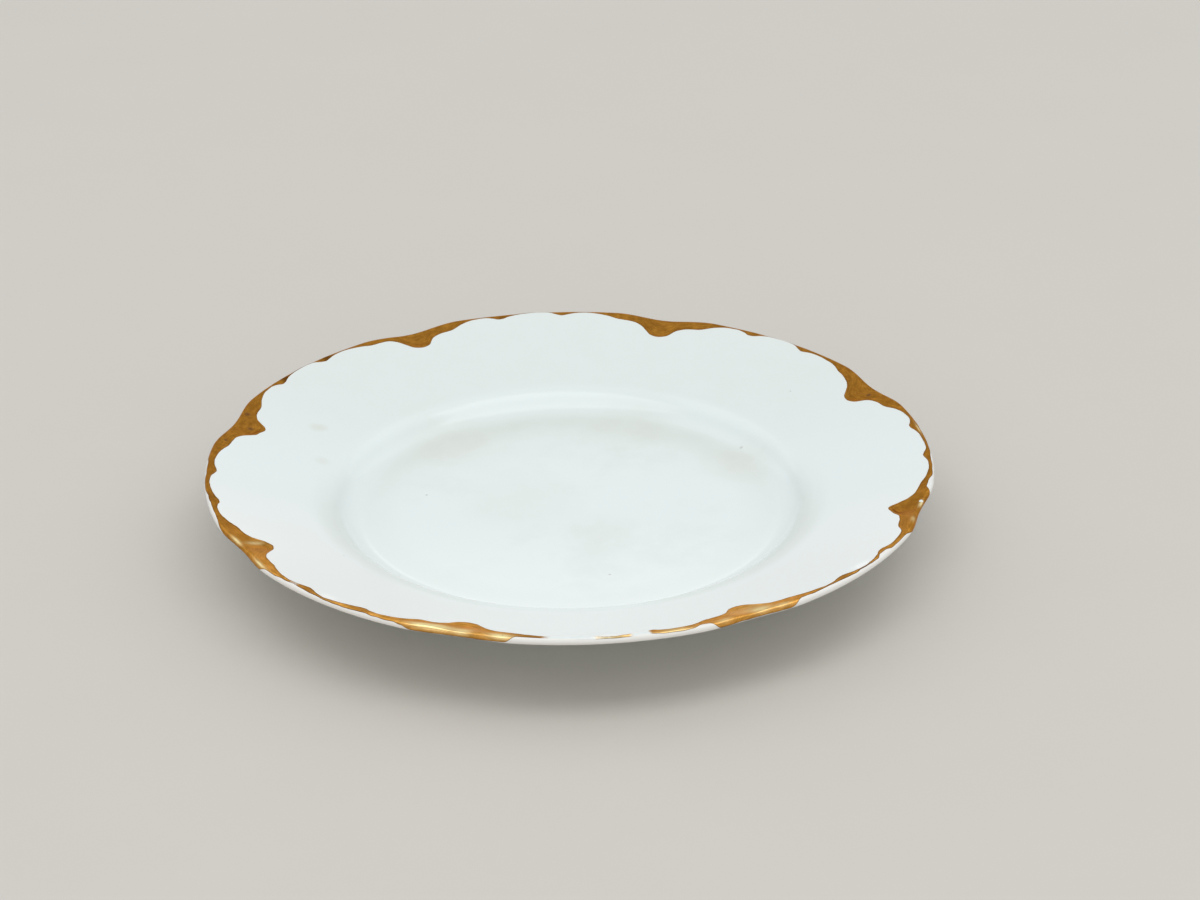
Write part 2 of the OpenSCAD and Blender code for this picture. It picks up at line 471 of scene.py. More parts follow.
class Finish:
    """A material and its nodes, ending in one Principled BSDF."""

    def __init__(self, name):
        self.material = bpy.data.materials.new(name)
        self.material.use_nodes = True
        self.tree = self.material.node_tree
        self.bsdf = self.tree.nodes["Principled BSDF"]

    def plug(self, node, key, value):
        """Links a wire to a socket, or writes a number or colour on it."""
        if isinstance(value, Wire):
            self.tree.links.new(value.socket, node.inputs[key])
        else:
            node.inputs[key].default_value = value

    def node(self, kind, sockets=None, out=0, **settings):
        """Adds a node, sets its settings, fills its sockets, and returns one output."""
        made = self.tree.nodes.new(kind)
        for key, value in settings.items():
            setattr(made, key, value)
        for key, value in (sockets or {}).items():
            self.plug(made, key, value)
        return Wire(self, made.outputs[out])

    def place(self):
        """Object coordinates in millimetres."""
        coords = self.node("ShaderNodeTexCoord", out="Object")
        return self.node("ShaderNodeVectorMath", {0: coords, "Scale": 1 / MM}, operation="SCALE")

    def axis(self, place, name):
        """One coordinate of a place, by its letter."""
        return self.node("ShaderNodeSeparateXYZ", {0: place}, out=name)

    def flat_length(self, vector):
        """Length of a vector as seen from above, with its height left out."""
        flat = self.node("ShaderNodeVectorMath", {0: vector, 1: (1, 1, 0)}, operation="MULTIPLY")
        return self.node("ShaderNodeVectorMath", {0: flat}, out="Value", operation="LENGTH")

    def noise(self, vector, scale, detail=2.0, rough=0.5):
        """Smooth random pattern from 0 to 1, with this many waves in a millimetre."""
        sockets = {"Vector": vector, "Scale": scale, "Detail": detail, "Roughness": rough}
        return self.node("ShaderNodeTexNoise", sockets)

    def span(self, x, none, full):
        """Smooth step of x from 0 at none to 1 at full, whichever of them is the larger."""
        sockets = {"Value": x, "From Min": min(none, full), "From Max": max(none, full)}
        rise = self.node("ShaderNodeMapRange", sockets, interpolation_type="SMOOTHSTEP")
        return 1 - rise if full < none else rise

    def band(self, x, begins, full, fades, ends):
        """Mask that rises from where it begins to where it is full, and then fades."""
        return self.span(x, begins, full) * self.span(x, ends, fades)

    def dot(self, place, x, y, radius, soft=0.5):
        """Round spot on the plate at (x, y) millimetres: 1 within it, fading over its rim."""
        centred = self.node("ShaderNodeVectorMath", {0: place, 1: (x, y, 0)}, operation="SUBTRACT")
        return self.span(self.flat_length(centred), radius * (1 + soft), radius * (1 - soft))

    def mix(self, share, a, b):
        """Colour a, turned into colour b by the share."""
        sockets = {0: share, 6: a, 7: b}
        return self.node("ShaderNodeMix", sockets, out=2, data_type="RGBA")

    def value(self, name):
        """A number attribute of the mesh's points."""
        return self.node("ShaderNodeAttribute", out="Fac", attribute_name=name)

    def set(self, **inputs):
        """Fills the Principled BSDF's sockets, with _ in a name for its space."""
        for key, value in inputs.items():
            self.plug(self.bsdf, key.replace("_", " "), value)

    def bump(self, height, depth):
        """Relief from a height pattern that stands for this many millimetres."""
        sockets = {"Height": height, "Distance": depth * MM, "Strength": 1.0}
        return self.node("ShaderNodeBump", sockets)


# %% [markdown]
# ## White glaze
#
# Hard porcelain is a cool, very slightly green white under a clear, glossy glaze. It isn't a
# flat colour: the glaze lies in slow waves, and it is darker olive-grey where the floor turns
# up, more so at the rear. Painted shade in that olive-grey darkens the far floor and far rim.
# It has faint smudges where it was rubbed and here and there a speck of iron burnt into the
# glaze. Painted light makes the near side whiter and the near rim lighter and warmer, and a
# fine line of painted shade follows the near shoulder. Worn gold leaves a warm trace on the
# lip. A coat on the Principled BSDF gives the glaze its sharp reflection over a duller white
# body.
#
# Each of these could be painted into one picture. Here each is a mask: a few smooth steps in
# millimetres over the plate, broken up by noise.

# %% Colours and places of the marks
WHITE = (0.78, 0.845, 0.835, 1)
# Olive-grey of the darker turn-up, of rubbing on the floor, and of painted shade
SOIL_AND_SHADE_GREY = (0.55, 0.58, 0.50, 1)
STAIN = (0.58, 0.55, 0.42, 1)
# Painted light: a whiter white for the near side, and a lighter, warmer one for the near rim
FRONT_LIT_WHITE = (0.84, 0.90, 0.89, 1)
NEAR_RIM_LIT_WHITE = (0.84, 0.862, 0.84, 1)
GOLD_TRACE = (0.86, 0.67, 0.56, 1)
IRON = (0.20, 0.19, 0.17, 1)
GLAZE_ROUGHNESS = 0.16
# Noise patterns: waves in a millimetre, detail and roughness
SLOW = (0.022, 3.0, 0.55)
CLOUD = (0.11, 4.0, 0.6)
RIPPLE, FINE_RIPPLE = 0.07, 0.6
RIPPLE_DEPTH = 0.05
# Bands round the axis: where each begins, is full, fades and ends, in millimetres. The far floor's
# band and the shoulder's line carry painted shade.
TURN_UP = (43.0, 54.0, 54.0, 60.5)
FAR_FLOOR = (8.0, 56.0, 56.0, 62.0)
SHOULDER_SHADE_LINE = (60.8, 62.8, 65.2, 71.0)
# Steps in the distance from the axis, from none to full: painted shade on the far rim, rubbing on
# the floor, and painted light on the near rim
FAR_RIM = (63.0, 68.0)
RUBBED_FLOOR = (56.0, 40.0)
NEAR_RIM = (66.0, 74.0)
# Steps towards the rear, where y grows, or towards the front: for the darker turn-up, the painted
# shade of the far side and of the shoulder line, and the painted light of the near side
TURN_UP_REAR_Y = (-20.0, 30.0)
FAR_SHADE_Y = (2.0, 60.0)
SHADE_LINE_Y = (25.0, -35.0)
FRONT_LIGHT_Y = (0.0, -45.0)
NEAR_RIM_LIGHT_Y = (10.0, -50.0)
# Steps towards the left, for the painted light on the near rim, and away from the middle as a
# square, for the painted shade line
NEAR_RIM_LIGHT_X = (40.0, -60.0)
SHADE_LINE_X_SQUARED = (60.0, 1100.0)
# The warm trace comes in at the border and goes out on the underside, along the skin
TRACE_IN = (-0.5, -0.02)
TRACE_OUT = (28.0, 16.0)
# Faint smudges and burnt specks: x, y and radius in millimetres, and strength
SMUDGES = [
    (-70.4, 33.6, 1.5, 0.22), (-68.6, 34.2, 1.3, 0.18), (-67.8, 17.5, 1.6, 0.16),
    (-33.0, 41.0, 11.0, 0.14), (16.9, 50.0, 10.0, 0.10), (47.1, 26.4, 8.0, 0.16),
    (-13.5, 6.6, 13.0, 0.10), (8.0, -12.0, 9.0, 0.07),
]
IRON_SPECKS = [
    (-39.2, 10.3, 0.32, 0.40), (10.5, -36.5, 0.36, 0.35), (47.6, 34.9, 0.45, 0.28),
    (-59.0, -38.0, 0.22, 0.3), (62.0, 52.0, 0.25, 0.3),
]
print("smudges", len(SMUDGES), "specks", len(IRON_SPECKS))

# %% Make the glaze


def turn_up_and_far_shade_mask(f, y, away, cloud):
    """Darker olive-grey where the floor turns up, more so towards the rear, and painted shade over
    the far floor and rim.
    """
    wall = f.band(away, *TURN_UP) * (0.45 + f.span(y, *TURN_UP_REAR_Y) * 0.55)
    far_shade = (f.band(away, *FAR_FLOOR) + f.span(away, *FAR_RIM)) * f.span(y, *FAR_SHADE_Y)
    return wall * (0.11 + cloud * 0.14) + far_shade * (0.13 + cloud * 0.11)


def shoulder_shade_mask(f, x, y, away, cloud):
    """Painted shade: a fine darker line on the near shoulder, weakest in the middle of the front.
    """
    line = f.band(away, *SHOULDER_SHADE_LINE) * f.span(y, *SHADE_LINE_Y)
    line = line * (0.3 + f.span(x * x, *SHADE_LINE_X_SQUARED) * 0.7)
    return line * (0.26 + cloud * 0.18)


def white_with_painted_light(f, x, y, away):
    """White body with painted light: whiter in front, and lighter and warmer on the near rim."""
    near = f.span(away, *NEAR_RIM) * f.span(y, *NEAR_RIM_LIGHT_Y)
    white = f.mix(f.span(y, *FRONT_LIGHT_Y) * 0.7, WHITE, FRONT_LIT_WHITE)
    return f.mix(near * (0.6 + f.span(x, *NEAR_RIM_LIGHT_X) * 0.4), white, NEAR_RIM_LIT_WHITE)


def make_glaze():
    """White porcelain under clear glaze."""
    f = Finish("white_glaze")
    place = f.place()
    away = f.flat_length(place)
    x, y = f.axis(place, "X"), f.axis(place, "Y")
    slow = f.noise(place, *SLOW)
    cloud = f.noise(place, *CLOUD)
    patchy = f.span(slow * 0.6 + cloud * 0.4, 0.48, 0.70)
    rubs = f.span(away, *RUBBED_FLOOR) * patchy * 0.12
    # Painted shade on the far floor, far rim and near shoulder, with the darker turn-up and
    # rubbing on the floor, over a white with painted light
    soil_and_shade = turn_up_and_far_shade_mask(f, y, away, cloud) + rubs + shoulder_shade_mask(f, x, y, away, cloud)
    colour = f.mix(soil_and_shade, white_with_painted_light(f, x, y, away), SOIL_AND_SHADE_GREY)
    for at_x, at_y, radius, strength in SMUDGES:
        smudge = f.dot(place, at_x, at_y, radius, soft=0.8) * cloud * (2 * strength)
        colour = f.mix(smudge, colour, STAIN)
    beyond = f.value("from_border")
    trace = f.span(beyond, *TRACE_IN) * f.span(beyond, *TRACE_OUT) * 0.22
    colour = f.mix(trace, colour, GOLD_TRACE)
    for at_x, at_y, radius, strength in IRON_SPECKS:
        colour = f.mix(f.dot(place, at_x, at_y, radius) * strength, colour, IRON)
    ripple = f.noise(place, RIPPLE) * 0.92 + f.noise(place, FINE_RIPPLE) * 0.08
    f.set(
        Base_Color=colour,
        Roughness=f.span(slow, 0.3, 0.8) * 0.08 + 0.30,
        Normal=f.bump(ripple, RIPPLE_DEPTH),
        Specular_IOR_Level=0.1,
        Coat_Weight=1.0,
        Coat_Roughness=GLAZE_ROUGHNESS,
        Coat_IOR=1.5,
    )
    return f.material


glaze = make_glaze()
print("made", glaze.name)

# %% Rows of the body's section
COLS = LOBES * 140
FLOOR_ROWS, RIM_ROWS, STEP_ROWS, BAND_ROWS, FLAT_ROWS, ROLL_ROWS = 6, 8, 9, 8, 3, 13
UNDER_ROWS, BASE_ROWS = 4, 4
# The rim's rows crowd towards the border by this power, and close rows begin this far
# before the step
RIM_CROWDING, BEFORE_STEP = 0.8, 0.1
# Rows of the roll begin at least this far past the foot of the step, and the band's close
# rows take at most this share of the way to them
PAST_STEP, BEND_SHARE = 0.04, 0.8
# Length from the border that is written where the border is far off
FAR_OFF = 30.0


def rim_rows(v):
    """Rows over the rim, the step, the band and the lip, as (r, z, length from the border)."""
    at_border = skin_t(v, border_r(v))
    step_top = at_border - STEP_BEFORE - BEFORE_STEP
    step_foot = at_border + STEP_AFTER
    roll_from = np.maximum(step_foot + PAST_STEP, 0)
    bend = step_foot + np.minimum(BAND_IN, (roll_from - step_foot) * BEND_SHARE)
    t = np.concatenate([
        spread(skin_t(v, shoulder[-1][0]), step_top, RIM_ROWS, RIM_CROWDING),
        spread(step_top, step_foot, STEP_ROWS),
        spread(step_foot, bend, BAND_ROWS),
        spread(bend, roll_from, FLAT_ROWS),
        spread(roll_from, math.pi * LIP_R, ROLL_ROWS),
    ])
    r, z, _, _ = top(v, t)
    return r, z, t - at_border


def body_grid(v):
    """Rows of the body's section at every place v, as (r, z, length from the border).

    From the middle of the floor the rows run out over the fillet, the wall, the shoulder,
    the rim and the lip, and back below to the middle of the base.
    """
    share = np.linspace(0, 1, FLOOR_ROWS + 2)[1:-1]
    floor_z = FLOOR_Z + (fillet[0][1] - FLOOR_Z) * share**4
    floor_points = np.stack([fillet[0][0] * share, floor_z], 1)
    base = np.linspace(base_round[-1][0], 0, BASE_ROWS + 2)[1:-1]
    base_points = np.stack([base, np.full_like(base, FOOT_H)], 1)
    inner = all_round(np.concatenate([floor_points, fillet, shoulder]), len(v))
    lower = all_round(np.concatenate([under_shoulder, base_round, base_points]), len(v))
    r, z, from_border = rim_rows(v)
    under_r = spread(r[-1], under_shoulder[0][0], UNDER_ROWS + 1)[:-1]
    under_z = spread(z[-1], under_shoulder[0][1], UNDER_ROWS + 1)[:-1]
    return (
        np.concatenate([inner[0], r, under_r, lower[0]]),
        np.concatenate([inner[1], z, under_z, lower[1]]),
        np.concatenate([
            np.full_like(inner[0], -FAR_OFF), from_border,
            np.full_like(under_r, FAR_OFF), np.full_like(lower[0], FAR_OFF),
        ]),
    )


print("columns", COLS)

# %% The glazed body


def make_body():
    """The whole glazed body with its two middles closed."""
    v = np.arange(COLS) * LOBES / COLS
    r, z, from_border = body_grid(v)
    rows = len(r)
    points = turned(v, r, z).reshape(-1, 3)
    middle = len(points)
    points = np.concatenate([points, [[0, 0, FLOOR_Z], [0, 0, FOOT_H]]])
    j = np.arange(COLS)
    k = (j + 1) % COLS
    last = (rows - 1) * COLS
    faces = grid_faces(rows, COLS, join_cols=True)
    faces += np.stack([np.full(COLS, middle), j, k], 1).tolist()
    faces += np.stack([np.full(COLS, middle + 1), last + k, last + j], 1).tolist()
    from_border = np.append(from_border.ravel(), [-FAR_OFF, FAR_OFF])
    piece = make_piece("plate_body", points, faces, glaze, from_border=from_border)
    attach(piece, "root")
    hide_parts("porcelain_body")
    return piece


body = make_body()
print("body faces", len(body.data.polygons))

# %% [markdown]
# ## The foot ring
#
# The plate stands on a narrow ring. Its sides are glazed and run into the base in a small
# hollow curve, but the face it stands on was wiped clean before firing, so that it didn't
# stick to the kiln shelf. That face is bare biscuit: a matt, slightly warm white, grey where
# it has rubbed on tables. Two pieces could meet there, but their seam would be too straight:
# one material holds both, and changes over at a slightly uneven height. The ring itself is
# an outline carried round the axis.

# %% Biscuit and glaze of the ring
BISCUIT = (0.74, 0.71, 0.64, 1)
RUBBED_BISCUIT = (0.40, 0.38, 0.35, 1)
# Glaze gives way to biscuit between these heights, in millimetres
BARE_HEIGHTS = (0.64, 0.48)
# Noise patterns: waves in a millimetre, detail and roughness
WOBBLE = (0.25, 3.0)
RUBBING = (0.2, 4.0, 0.65)
GRIT = (3.0, 3.0, 0.7)
GRIT_DEPTH = 0.06


def make_biscuit():
    """Glaze that gives way to bare biscuit below a slightly uneven height."""
    f = Finish("foot_biscuit")
    place = f.place()
    wobble = f.noise(place, *WOBBLE) * 0.25
    bare = f.span(f.axis(place, "Z") + wobble, *BARE_HEIGHTS)
    rubbed = f.span(f.noise(place, *RUBBING), 0.45, 0.75) * 0.5
    biscuit = f.mix(rubbed, BISCUIT, RUBBED_BISCUIT)
    f.set(
        Base_Color=f.mix(bare, WHITE, biscuit),
        Roughness=0.3 + bare * 0.55,
        Coat_Weight=1 - bare,
        Coat_Roughness=GLAZE_ROUGHNESS,
        Normal=f.bump(f.noise(place, *GRIT) * bare, GRIT_DEPTH),
    )
    return f.material


biscuit_glaze = make_biscuit()
print("made", biscuit_glaze.name)

# %% Foot ring
# The ring stands this far inside the edge of the base, and reaches this far into it
FOOT_IN, FOOT_SUNK = 0.8, 0.15
# Rounds beside the bearing face: radius, and how far they turn up, in degrees
FOOT_ROUND_R, FOOT_TURN = 0.8, 68.0
# The sides lean outwards by this share of what the ring's width leaves them, and at their
# top they flare by this many millimetres more
LEAN_SHARE, FLARE = 0.8, 0.7
FOOT_COLS = 720


def foot_outline():
    """Closed section of the ring, clockwise, as (r, z) points in millimetres.

    The bearing face is flat, two rounds lead into leaning sides, and each side flares into
    the base by the sixth power of the share of its height.
    """
    turn = np.radians(np.linspace(0, FOOT_TURN, 9))
    corner = BEARING_W / 2 - FOOT_ROUND_R * math.tan(math.radians(FOOT_TURN / 2))
    round_way = np.stack([np.sin(turn), -np.cos(turn)], 1)
    lower = np.array([corner, FOOT_ROUND_R]) + FOOT_ROUND_R * round_way
    start_r, start_z = lower[-1]
    rise = np.linspace(0, 1, 12)[1:]
    side_r = start_r + (FOOT_W / 2 - start_r) * LEAN_SHARE * rise + FLARE * rise**6
    side_z = start_z + (FOOT_H + FOOT_SUNK - start_z) * rise
    right = np.concatenate([[[0, 0]], lower, np.stack([side_r, side_z], 1)])
    left = right[1:] * [-1, 1]
    middle = base_r - FOOT_IN - FOOT_W / 2
    return np.concatenate([left, right[::-1]]) + [middle, 0]


def make_foot():
    """The outline carried once round the axis, closed both ways."""
    outline = foot_outline()
    v = np.arange(FOOT_COLS) * LOBES / FOOT_COLS
    points = turned(v, *all_round(outline, FOOT_COLS))
    faces = grid_faces(len(outline), FOOT_COLS, join_rows=True, join_cols=True)
    piece = make_piece("standing_ring", points, faces, biscuit_glaze)
    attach(piece, "root")
    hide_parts("foot_ring")
    return piece


foot = make_foot()
print("foot ring faces", len(foot.data.polygons))

# %% [markdown]
# ## Where the brush went
#
# The gilder filled the band between the border and the crest of the lip, and carried the
# stroke on over the lip at each notch. No two strokes are alike: some end early, and on the
# front of the plate washing has rubbed parts of the line away. A table says how far the gold
# reaches along the skin at places round the plate, and short lists hold the rubbed places,
# those where only the brown ground of the gold is left, and the painted highlights.
# Random lines add the wander of the hand. The seed is fixed, so every run draws the same
# plate.

# %% Edges of the gold
# Place round the plate in lobes from the first notch, and how far the gold reaches there in
# millimetres along the skin: 0 is where the lip's roll begins, 1 is its crest
REACH = np.array([
    [0.00, 2.3], [0.18, 2.2], [0.27, 1.2], [0.44, 1.2], [0.49, 0.85], [0.56, 1.2],
    [0.74, 1.2], [0.82, 2.2], [1.18, 2.2], [1.27, 1.2], [1.44, 1.1], [1.50, 1.0],
    [1.57, 1.1], [1.75, 1.2], [1.83, 2.3], [2.19, 2.2], [2.28, 1.2], [2.45, 1.1],
    [2.51, 1.0], [2.57, 1.1], [2.74, 1.3], [2.82, 2.3], [3.19, 2.2], [3.28, 1.4],
    [3.34, 0.80], [3.42, 0.80], [3.46, 1.4], [3.54, 1.4], [3.60, 0.75], [3.77, 0.75],
    [3.90, 2.5], [4.145, 2.5], [4.20, 1.0], [4.24, 1.10], [4.29, 0.85], [4.34, 0.6],
    [4.45, 0.85], [4.50, 1.10], [4.60, 1.05], [4.66, 0.85], [4.70, 1.2], [4.77, 1.1],
    [4.80, 1.5], [4.84, 2.5], [5.15, 2.5], [5.20, 0.40], [5.32, 0.55], [5.44, 1.10],
    [5.56, 1.10], [5.62, 0.75], [5.69, 1.15], [5.78, 1.05], [5.82, 0.0], [5.835, 0.1],
    [5.88, 2.4], [6.14, 2.4], [6.20, 0.3], [6.25, 0.52], [6.37, 0.55], [6.42, 0.80],
    [6.58, 1.0], [6.61, 0.2], [6.64, 0.2], [6.67, 1.0], [6.78, 1.0], [6.85, 2.4],
    [7.10, 2.4], [7.16, -0.2], [7.19, -0.1], [7.26, 0.80], [7.38, 0.85], [7.43, 1.10],
    [7.50, 1.05], [7.60, 0.95], [7.65, 1.3], [7.72, 1.3], [7.83, 2.2],
])
# The gold starts this far outside the border, and is at least this wide
GOLD_START, GOLD_LEAST = 0.03, 0.28
# Where it runs over the border instead: place and half width in lobes, and how far
OVER_BORDER = [(1.5, 0.12, 0.15), (2.5, 0.12, 0.15)]
# How the brush wandered: width of the waves in lobes and size in millimetres, slow and quick
INNER_HAND = [(0.02, 0.04), (0.006, 0.02)]
OUTER_HAND = [(0.05, 0.06), (0.012, 0.05)]


def hump(place, half_width):
    """Bell curve round the plate that is 1 at its place."""
    return bell(way_round(RING, place), half_width)


def humps(rows):
    """The sum of such curves, each times its strength, held at 1."""
    return np.clip(sum(strength * hump(place, wide) for place, wide, strength in rows), 0, 1)


def reach_t(v):
    """How far the gold reaches at places v: an eased step from knot to knot."""
    x = np.append(REACH[:, 0], LOBES)
    y = np.append(REACH[:, 1], REACH[0, 1])
    i = np.clip(np.searchsorted(x, v, side="right") - 1, 0, len(x) - 2)
    return y[i] + (y[i + 1] - y[i]) * ease((v - x[i]) / (x[i + 1] - x[i]))


border_t = skin_t(RING, border_r(RING))
inner_t = border_t + GOLD_START + sum(wander(*hand) for hand in INNER_HAND) - humps(OVER_BORDER)
outer_t = reach_t(RING) + sum(wander(*hand) for hand in OUTER_HAND)
outer_t = np.maximum(outer_t, inner_t + GOLD_LEAST)
print("gold width %.1f to %.1f mm" % ((outer_t - inner_t).min(), (outer_t - inner_t).max()))

# %% Wear and painted highlights of the gold
# Rubbed places and places with only the brown ground: place, half width, strength
RUBBED = [
    (4.340, 0.030, 0.5), (4.50, 0.06, 0.30), (4.75, 0.04, 0.25), (5.31, 0.03, 0.5),
    (5.390, 0.045, 1.0), (5.50, 0.05, 0.35), (5.605, 0.025, 0.9), (5.73, 0.07, 0.35),
    (6.30, 0.05, 0.25), (6.50, 0.07, 0.35), (6.625, 0.02, 0.35), (6.72, 0.04, 0.2),
]
BROWNED = [
    (1.64, 0.015, 0.4), (2.38, 0.018, 0.9), (2.61, 0.020, 0.9), (3.61, 0.02, 0.5),
    (4.33, 0.030, 0.4), (4.42, 0.025, 0.4), (4.50, 0.08, 0.2), (4.64, 0.025, 0.4),
    (5.24, 0.050, 0.5), (6.28, 0.05, 0.3), (6.40, 0.04, 0.4), (6.52, 0.06, 0.3),
]
# Painted highlights on the gold: place and half width in lobes, place and half width
# along the skin in millimetres, strength
PAINTED_HIGHLIGHTS = [
    (3.968, 0.008, -3.4, 1.5, 0.6), (3.950, 0.022, 0.9, 0.4, 0.7),
    (4.150, 0.028, 0.8, 0.4, 0.7), (4.860, 0.030, 0.1, 0.7, 0.6),
    (4.930, 0.045, -0.3, 1.1, 0.9), (5.010, 0.020, -0.3, 1.3, 0.9),
    (5.145, 0.030, 0.2, 0.9, 1.0), (5.500, 0.045, 0.8, 0.5, 0.6),
    (5.720, 0.045, 0.8, 0.5, 0.5), (5.895, 0.020, 0.2, 0.6, 0.5),
    (6.045, 0.024, -0.6, 1.1, 1.0), (6.010, 0.040, -3.0, 1.5, 0.4),
    (6.120, 0.020, 0.4, 0.6, 0.5), (6.900, 0.014, 0.5, 0.4, 0.5),
    (7.030, 0.014, 0.9, 0.4, 0.9), (7.612, 0.026, 0.42, 0.16, 1.0),
]


def painted_highlight_share(v, t):
    """The sum of the painted highlights at (v, t), each a bell curve both ways, held at 1."""
    total = 0
    for place, wide, level, high, strength in PAINTED_HIGHLIGHTS:
        total = total + strength * bell(v - place, wide) * bell(t - level, high)
    return np.clip(total, 0, 1)


rubbed, browned = humps(RUBBED), humps(BROWNED)
print("worn through on", round(100 * float((rubbed > 0.5).mean()), 1), "% of the way round")

# %% [markdown]
# ## Burnished gold
#
# Gold on porcelain is a film of metal that was painted on as a brown paste, fired and rubbed
# bright. Brush streaks stay in it, its thin margin keeps a brown line, dust leaves brown
# specks, and washing wears it away on the lip, where the white shows through. A painted
# picture could hold all of these, but masks stay sharp from near and are easy to change. A
# speck or a worn place isn't metal, so Metallic follows the masks too. Painted reflection
# makes the gold paler and brighter in front, painted shade darkens it below the lip, and
# painted highlights lie on the front strokes.
#
# Metal whitens at a flat angle, but gold keeps some of its colour there. Specular Tint sets
# that colour.

# %% Colours and marks of the gold
GOLD = (0.33, 0.140, 0.019, 1)
PALE_GOLD = (0.53, 0.245, 0.036, 1)
# Painted reflection: the paler, brighter gold of the front
FRONT_LIT_GOLD = (0.86, 0.43, 0.10, 1)
# Painted highlight colour
HIGHLIGHT_GOLD = (1.0, 0.88, 0.48, 1)
BROWN = (0.13, 0.050, 0.010, 1)
TARNISH = (0.21, 0.098, 0.016, 1)
GOLD_EDGE_TINT = (1.0, 0.72, 0.52, 1)
# The paler gold of the painted reflection comes in towards the front, and painted shade darkens
# the gold below the lip, in millimetres
FRONT_Y = (-15.0, -80.0)
BELOW_LIP = (1.5, 2.4)
# The margin turns brown between these distances from the stroke's edge
BROWN_MARGIN = (0.32, 0.08)
# Noise patterns: waves in a millimetre, detail and roughness
STREAKS = (2.2, 3.0, 0.6)
BLOTCHES = (0.35, 4.0, 0.6)
FINE = (2.4, 4.0, 0.65)
TARNISH_SPOTS = (0.6, 4.0, 0.7)
SPECK_AREAS = (0.22, 0.0)
SPECK_CELLS = 0.42
# Lengths along the border count by this share for the streaks, which draws these out
STREAK_SHARE = 0.12
STREAK_DEPTH = 0.02
# Burnt specks and one chip: angle, distance from the axis and radius
SPECKS = [(159.9, 94.9, 0.8), (163.3, 91.8, 0.75), (170.2, 95.3, 0.5), (27.1, 93.6, 0.7)]
CHIP = (345.7, 95.9, 0.55)


def at(angle, away):
    """Point (x, y) at an angle in degrees and a distance from the axis."""
    return away * math.cos(math.radians(angle)), away * math.sin(math.radians(angle))


def speck_mask(f, place):
    """Burnt specks: small cells where a slow noise is high, and those of the list."""
    sockets = {"Vector": place, "Scale": SPECK_CELLS, "Randomness": 1.0}
    cells = f.node("ShaderNodeTexVoronoi", sockets, out="Distance")
    areas = f.span(f.noise(place, *SPECK_AREAS), 0.54, 0.60)
    specks = f.span(cells, 0.13, 0.07) * areas * 0.5
    for angle, away, radius in SPECKS:
        specks = specks + f.dot(place, *at(angle, away), radius, soft=0.8) * 0.7
    return specks


def dark_mask(f, fine, specks):
    """Brown: the margin, specks, places with only the ground, and painted shade on the turn below
    the lip.
    """
    margin = f.span(f.value("margin") + fine * 0.12, *BROWN_MARGIN) * 0.8
    # Painted shade on the turn below the lip
    under_shade = f.span(f.value("length"), *BELOW_LIP) * 0.45
    ground = f.value("browned") * (0.6 + fine * 0.5)
    return f.span(margin + specks + ground + under_shade, 0.0, 1.0)


def worn_mask(f, place, fine, blotch):
    """White that shows through: rubbed places with ragged edges, and the chip."""
    ragged = (fine * 0.3 + blotch * 0.7 - 0.5) * 0.7
    worn = f.span(f.value("rubbed") + ragged, 0.30, 0.75)
    angle, away, radius = CHIP
    chip = f.dot(place, *at(angle, away), radius, soft=0.3)
    return f.span(worn + chip, 0.0, 1.0)


def gold_tone(f, place, streaks, blotch):
    """Sound gold: tarnished at the rear, painted paler in front as painted reflection, and palest
    at the painted highlights.
    """
    pale = f.span(streaks * 0.5 + blotch * 0.5, 0.36, 0.66)
    rear = f.mix(pale, GOLD, PALE_GOLD)
    front = f.mix(pale, PALE_GOLD, FRONT_LIT_GOLD)
    tarnish = f.span(f.noise(place, *TARNISH_SPOTS), 0.50, 0.72) * 0.45
    rear = f.mix(tarnish, rear, TARNISH)
    # Painted reflection: paler and brighter towards the front
    tone = f.mix(f.span(f.axis(place, "Y"), *FRONT_Y), rear, front)
    # Painted highlights
    return f.mix(f.value("painted_highlight") * (0.6 + streaks), tone, HIGHLIGHT_GOLD)


print("specks of the list", len(SPECKS))

# %% Make the gold


def make_gold():
    """Gold leaf colour with streaks, brown margin, specks and worn places."""
    f = Finish("gilding")
    place = f.place()
    along = f.value("along") * STREAK_SHARE
    brush = f.node("ShaderNodeCombineXYZ", {"X": along, "Y": f.value("across"), "Z": 0.0})
    streaks = f.noise(brush, *STREAKS)
    blotch = f.noise(place, *BLOTCHES)
    fine = f.noise(place, *FINE)
    specks = speck_mask(f, place)
    dark = dark_mask(f, fine, specks)
    worn = worn_mask(f, place, fine, blotch)
    colour = f.mix(dark, gold_tone(f, place, streaks, blotch), BROWN)
    f.set(
        Base_Color=f.mix(worn, colour, WHITE),
        Metallic=(1 - worn) * (1 - specks * 0.5),
        Roughness=0.24 + blotch * 0.14 + dark * 0.2,
        Specular_Tint=GOLD_EDGE_TINT,
        Coat_Weight=worn,
        Coat_Roughness=0.14,
        Normal=f.bump(streaks * 0.5 + fine * 0.5, STREAK_DEPTH),
    )
    return f.material


gold = make_gold()
print("made", gold.name)

# %% [markdown]
# ## The gold as thin shells
#
# A film this thin could be painted in the glaze's material, but as pieces of their own the
# strokes can be worn, hidden or swapped. Each is a closed shell a few hundredths of a
# millimetre thick that lies on the plate's real top surface and thins to nothing at its
# edges.

# %% Lay the gold on the plate
# A patch of gold reaches from this place before its notch to that place after it, in lobes,
# and a line fills the way to the next patch
GOLD_FROM, GOLD_TO = -0.21, 0.18
# Columns and rows of a patch and of a line
PATCH_GRID, LINE_GRID = (150, 32), (260, 18)
# The shell's top lies this far over the plate, and its bottom this far in it
LIFT, SUNK = 0.045, 0.03
# Its edges lie this far in the plate too, and the top has risen at this distance from them
EDGE_SUNK, EDGE_WIDTH = 0.006, 0.15
# Length of one lobe along the plate's edge, in which the brush streaks are measured
LOBE_LENGTH = 77.0


